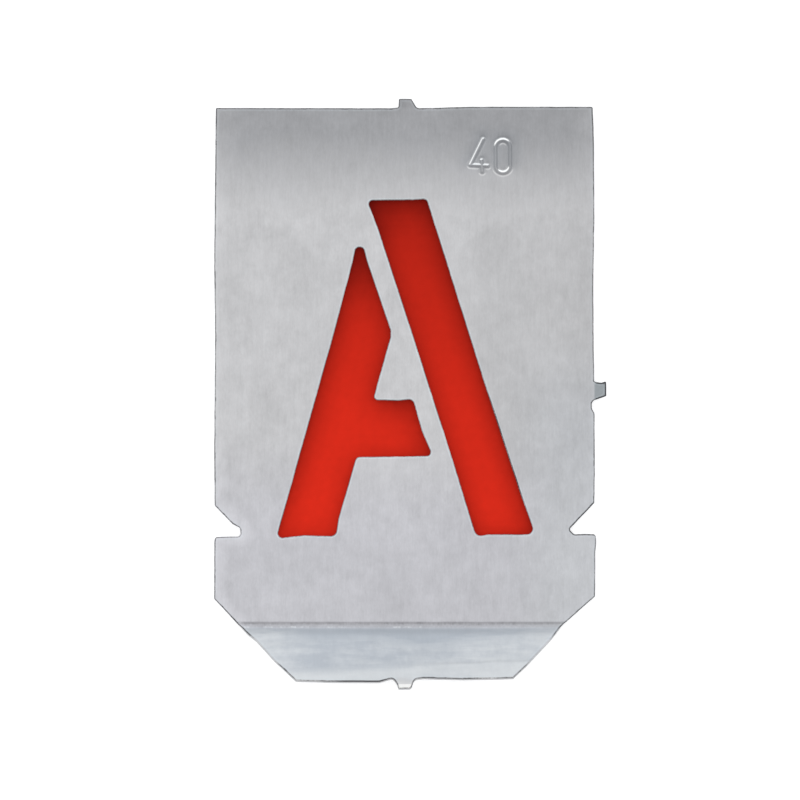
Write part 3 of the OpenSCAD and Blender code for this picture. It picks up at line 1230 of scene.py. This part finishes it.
def cardSurface(board):
    spot = board.node("ShaderNodeTexCoord", out=3)
    sky = board.node("ShaderNodeAttribute", None, {"attribute_name": "openSky"}, out=2)
    x, y, _ = [part / mm for part in spot.parts()]
    tones = cardTones
    fluff = board.cloud(spot, tones["fluffScale"], detail=3, roughness=0.6) - 0.5
    slow = board.cloud(spot, tones["slowScale"], detail=2) - 0.5
    upwards = (y + x * tones["fadeSideways"] + tones["fadeOffset"]) / tones["fadeLength"]
    fade = 1 - upwards.least(0) ** 2 * tones["fade"]
    foot = y.fade(*tones["footBelow"]) * x.fade(*tones["footLeft"])
    shade = 1 - (1 - sky) * tones["shadeDepth"] * (1 - foot)
    point = y.ease(*tones["pointAbove"]) * x.fade(*tones["pointLeft"])
    corner = 1 - (x + y * openingTones["rightStrokeLean"]).share(*tones["cornerLeft"])
    corner = corner * y.ease(*tones["cornerAbove"])
    mottled = 1 + fluff * tones["fluff"] + slow * tones["slow"]
    tone = shade * fade * (1 - point) * (1 - corner) * mottled
    colour = board.blend(tone.share(0, 1), tones["dim"], tones["bright"])
    depth = tones["bumpHeight"] * mm
    bump = board.node("ShaderNodeBump", {"Strength": 0.4, "Distance": depth, "Height": fluff})
    look = {"Base Color": colour, "Roughness": 0.9, "Specular IOR Level": 0.05, "Normal": bump}
    return board.node("ShaderNodeBsdfPrincipled", look)


cardPiece = cardMesh("red_backing_card")
cardPiece.data.materials.append(material("redCard", cardSurface))
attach(cardPiece, "root")
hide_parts("backing_card")
print("card:", len(cardPiece.data.polygons), "faces")


# Studio

studio = {
    "floorSize": 6,
    "floorDrop": 0.01,  # mm below the card
    "cameraHeight": 1.5,
    "frameWidth": 0.09552,  # what the picture spans on the plate
    "frameCentre": (-0.00057, 0.01618),
    "sensor": 36,
    "floorTone": 0.82,
    "floorGlow": 0.55,  # seen by the camera and in reflections only
}

sky = {  # from the near side, past the zenith, to the far side; each pair is where a tone sets in
    "near": (0.6, 0.6, 0.61),
    "overhead": (1.0, 1.0, 1.0),
    "overheadFrom": (-0.42, 0.02),
    "glow": (1.12, 1.12, 1.12),
    "glowFrom": (0.02, 0.14),
    "beyond": (0.86, 0.86, 0.87),
    "beyondFrom": (0.2, 0.38),
    "cool": (0.95, 1.0, 1.04),
    "coolFrom": (0.5, 0.7),
    "sides": (0.7, 0.71, 0.72),
    "sidesFrom": (0.35, 0.8),
    "wall": (1.4, 1.42, 1.44),  # bright, and low on the far side
    "wallTop": (0.4, 0.58),
    "wallFoot": (0, 0.1),
    "wallFrom": (0.3, 0.6),
    "wallTurn": 0.27,
}


def floorSurface(board):
    path = board.nodes.new("ShaderNodeLightPath")
    seen = [Wire(board, path.outputs[k]) for k in ("Is Camera Ray", "Is Glossy Ray", "Is Transmission Ray")]
    glow = (seen[0] + seen[1] + seen[2]).most(1) * studio["floorGlow"]
    matt = board.node("ShaderNodeBsdfDiffuse", {"Color": (*[studio["floorTone"]] * 3, 1)})
    light = board.node("ShaderNodeEmission", {"Strength": glow})
    return board.node("ShaderNodeAddShader", {0: matt, 1: light})


def floorPlane():
    half = studio["floorSize"] / 2
    height = -studio["floorDrop"] * mm
    corners = [(x, y, height) for x, y in ((-half, -half), (half, -half), (half, half), (-half, half))]
    made = bpy.data.meshes.new("studio_floor")
    made.from_pydata(corners, [], [(0, 1, 2, 3)])
    made.materials.append(material("paleFloor", floorSurface))
    out = placed("studio_floor", made)


def softSky():
    world = bpy.data.worlds.new("softSky")
    world.use_nodes = True
    bpy.context.scene.world = world
    board = Board(world.node_tree)
    x, y, z = board.node("ShaderNodeTexCoord").parts()
    colour = sky["near"]
    for tone in ("overhead", "glow", "beyond", "cool"):
        colour = board.blend(y.ease(*sky[tone + "From"]), colour, sky[tone])
    colour = board.blend(x.maths("ABSOLUTE").ease(*sky["sidesFrom"]), colour, sky["sides"])
    wall = z.fade(*sky["wallTop"]) * z.ease(*sky["wallFoot"])
    wall = wall * (y - x * sky["wallTurn"]).ease(*sky["wallFrom"])
    colour = board.blend(wall, colour, sky["wall"])
    back = board.node("ShaderNodeBackground", {"Color": colour, "Strength": 1.0})
    board.node("ShaderNodeOutputWorld", {"Surface": back})


def overheadCamera():
    lens = bpy.data.cameras.new("overhead")
    lens.sensor_width = studio["sensor"]
    drop = studio["cameraHeight"] - cardHigh.z - plate["sheet"] * mm
    lens.lens = studio["sensor"] * drop / studio["frameWidth"]
    lens.clip_end = 20
    made = placed("overhead", lens)
    made.location = (*studio["frameCentre"], studio["cameraHeight"])
    bpy.context.scene.camera = made


floorPlane()
softSky()
overheadCamera()
bpy.context.scene.view_settings.view_transform = "Standard"

print("studio ready")
